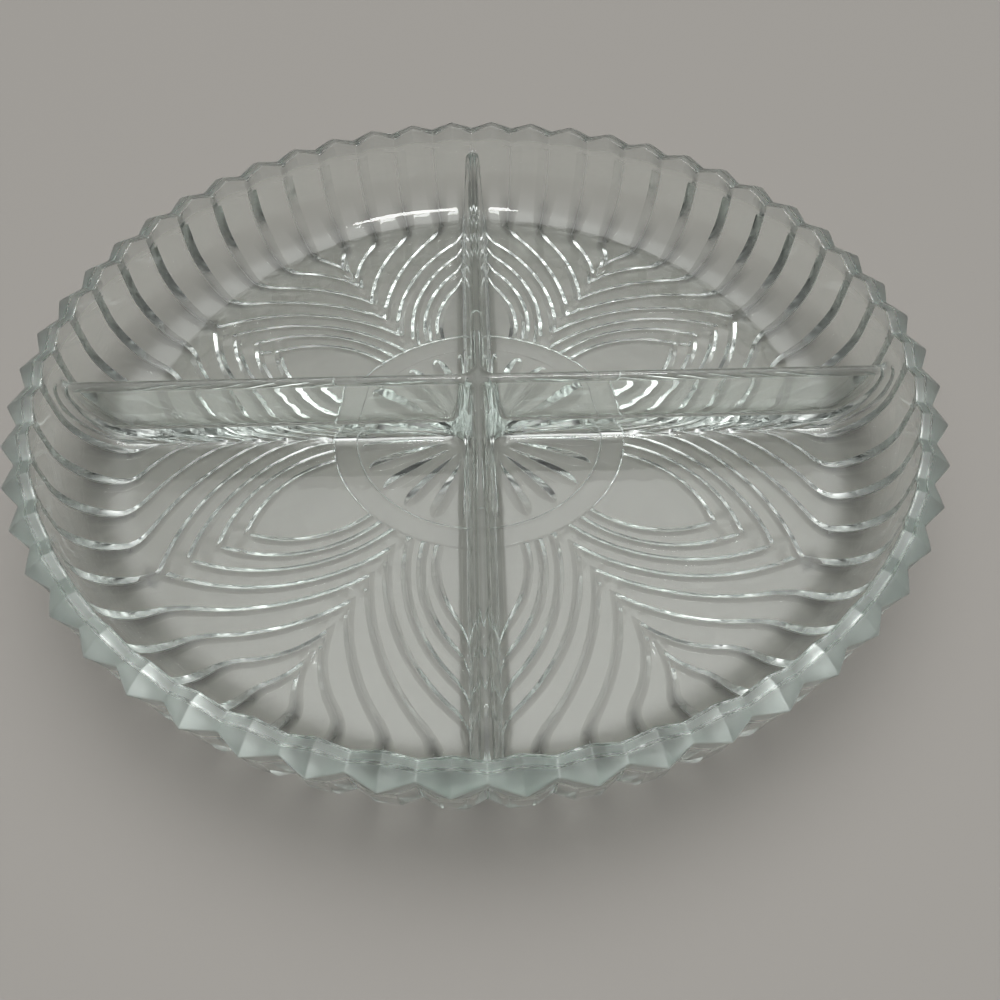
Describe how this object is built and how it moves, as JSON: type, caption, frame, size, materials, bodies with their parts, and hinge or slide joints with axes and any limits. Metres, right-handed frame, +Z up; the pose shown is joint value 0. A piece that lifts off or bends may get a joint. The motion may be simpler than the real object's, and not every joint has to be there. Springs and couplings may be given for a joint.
{
  "type": "relish tray",
  "caption": "Round pressed-glass relish tray with a sawtooth rim, a fluted wall, compartments parted by upright dividers, and a petal-and-starburst pattern pressed into its underside.",
  "frame": {"origin": "centre of the underside that the tray rests on", "axes": "+Z up, out of the open top; +X along the right divider and +Y along the back one, as seen with the front at -Y"},
  "size_m": [0.2032, 0.2028, 0.028],
  "materials": {
    "clear_glass": "clear pressed glass with a faint grey-green tint, fire-polished"
  },
  "bodies": {
    "root": {"floor_medallion": "clear_glass", "medallion_band": "clear_glass", "petal_panel_right_back": "clear_glass", "petal_panel_back": "clear_glass", "petal_panel_left_back": "clear_glass", "petal_panel_left_front": "clear_glass", "petal_panel_front": "clear_glass", "petal_panel_right_front": "clear_glass", "side_wall_back_right": "clear_glass", "side_wall_back_left": "clear_glass", "side_wall_front_left": "clear_glass", "side_wall_front_right": "clear_glass", "sawtooth_rim_back_right": "clear_glass", "sawtooth_rim_back_left": "clear_glass", "sawtooth_rim_front_left": "clear_glass", "sawtooth_rim_front_right": "clear_glass", "divider_right": "clear_glass", "divider_back": "clear_glass", "divider_left": "clear_glass", "divider_front": "clear_glass", "divider_hub": "clear_glass"}
  },
  "joints": []
}
